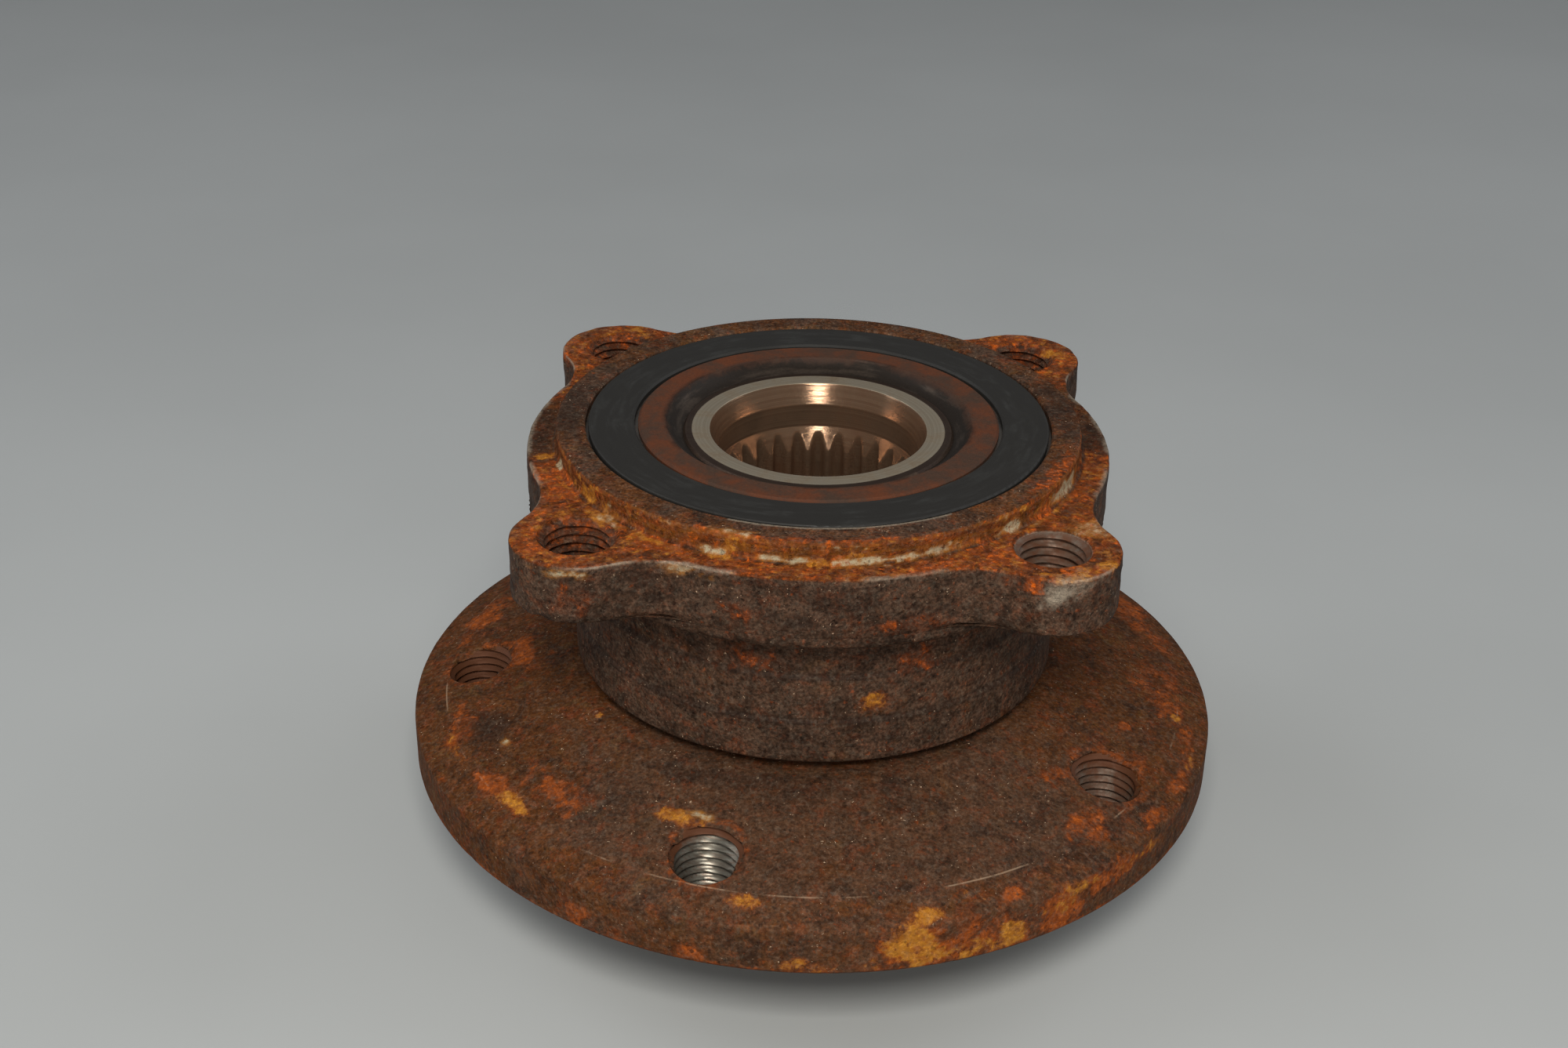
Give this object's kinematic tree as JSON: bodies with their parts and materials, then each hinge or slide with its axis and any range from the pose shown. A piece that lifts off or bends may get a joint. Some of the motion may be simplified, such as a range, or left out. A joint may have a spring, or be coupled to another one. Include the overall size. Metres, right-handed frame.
{
  "type": "wheel hub bearing",
  "caption": "Flanged wheel hub bearing with a splined driven hub, a turning wheel flange, two ball rows and a lugged outer ring that bolts to the knuckle.",
  "frame": {"origin": "on the wheel axis, at the end of the wheel spigot that the unit stands on", "axes": "+Z along the wheel axis, from the wheel side towards the knuckle side; +X and +Y are 45 degrees from the knuckle flange's lugs"},
  "size_m": [0.144, 0.144, 0.0826],
  "materials": {
    "hub_forging": "rusted forged and turned steel",
    "ring_forging": "rusted forged steel, pitted, with orange rust on the machined faces",
    "race_steel": "ground bearing steel, rusted at its open face",
    "ball_steel": "polished bearing steel",
    "cage_polyamide": "natural glass-filled polyamide",
    "seal_steel": "pressed steel sheet",
    "lip_rubber": "matt nitrile rubber",
    "encoder_rubber": "smooth magnetised nitrile rubber"
  },
  "bodies": {
    "hub_assembly": {"wheel_hub": "hub_forging", "inner_ring": "race_steel", "encoder_sleeve": "seal_steel", "encoder_ring": "encoder_rubber"},
    "outer_ring_assembly": {"outer_ring": "ring_forging", "outboard_seal_case": "seal_steel", "outboard_seal_lips": "lip_rubber", "inboard_seal_case": "seal_steel", "inboard_seal_lips": "lip_rubber"},
    "outboard_ball_set": {"outboard_cage": "cage_polyamide", "outboard_ball_01": "ball_steel", "outboard_ball_02": "ball_steel", "outboard_ball_03": "ball_steel", "outboard_ball_04": "ball_steel", "outboard_ball_05": "ball_steel", "outboard_ball_06": "ball_steel", "outboard_ball_07": "ball_steel", "outboard_ball_08": "ball_steel", "outboard_ball_09": "ball_steel", "outboard_ball_10": "ball_steel", "outboard_ball_11": "ball_steel", "outboard_ball_12": "ball_steel", "outboard_ball_13": "ball_steel", "outboard_ball_14": "ball_steel"},
    "inboard_ball_set": {"inboard_cage": "cage_polyamide", "inboard_ball_01": "ball_steel", "inboard_ball_02": "ball_steel", "inboard_ball_03": "ball_steel", "inboard_ball_04": "ball_steel", "inboard_ball_05": "ball_steel", "inboard_ball_06": "ball_steel", "inboard_ball_07": "ball_steel", "inboard_ball_08": "ball_steel", "inboard_ball_09": "ball_steel", "inboard_ball_10": "ball_steel", "inboard_ball_11": "ball_steel", "inboard_ball_12": "ball_steel", "inboard_ball_13": "ball_steel", "inboard_ball_14": "ball_steel"}
  },
  "joints": [
    {"name": "bearing_spin", "type": "hinge", "parent": "hub_assembly", "child": "outer_ring_assembly", "pos_m": [0, 0, 0.0614], "axis": [0, 0, 1], "continuous": true},
    {"name": "outboard_balls_orbit", "type": "hinge", "parent": "hub_assembly", "child": "outboard_ball_set", "pos_m": [0, 0, 0.0522], "axis": [0, 0, 1], "continuous": true},
    {"name": "inboard_balls_orbit", "type": "hinge", "parent": "hub_assembly", "child": "inboard_ball_set", "pos_m": [0, 0, 0.0706], "axis": [0, 0, 1], "continuous": true}
  ],
  "couplings": [
    {"joint": "outboard_balls_orbit", "follows": "bearing_spin", "ratio": 0.57016},
    {"joint": "inboard_balls_orbit", "follows": "bearing_spin", "ratio": 0.57016}
  ]
}
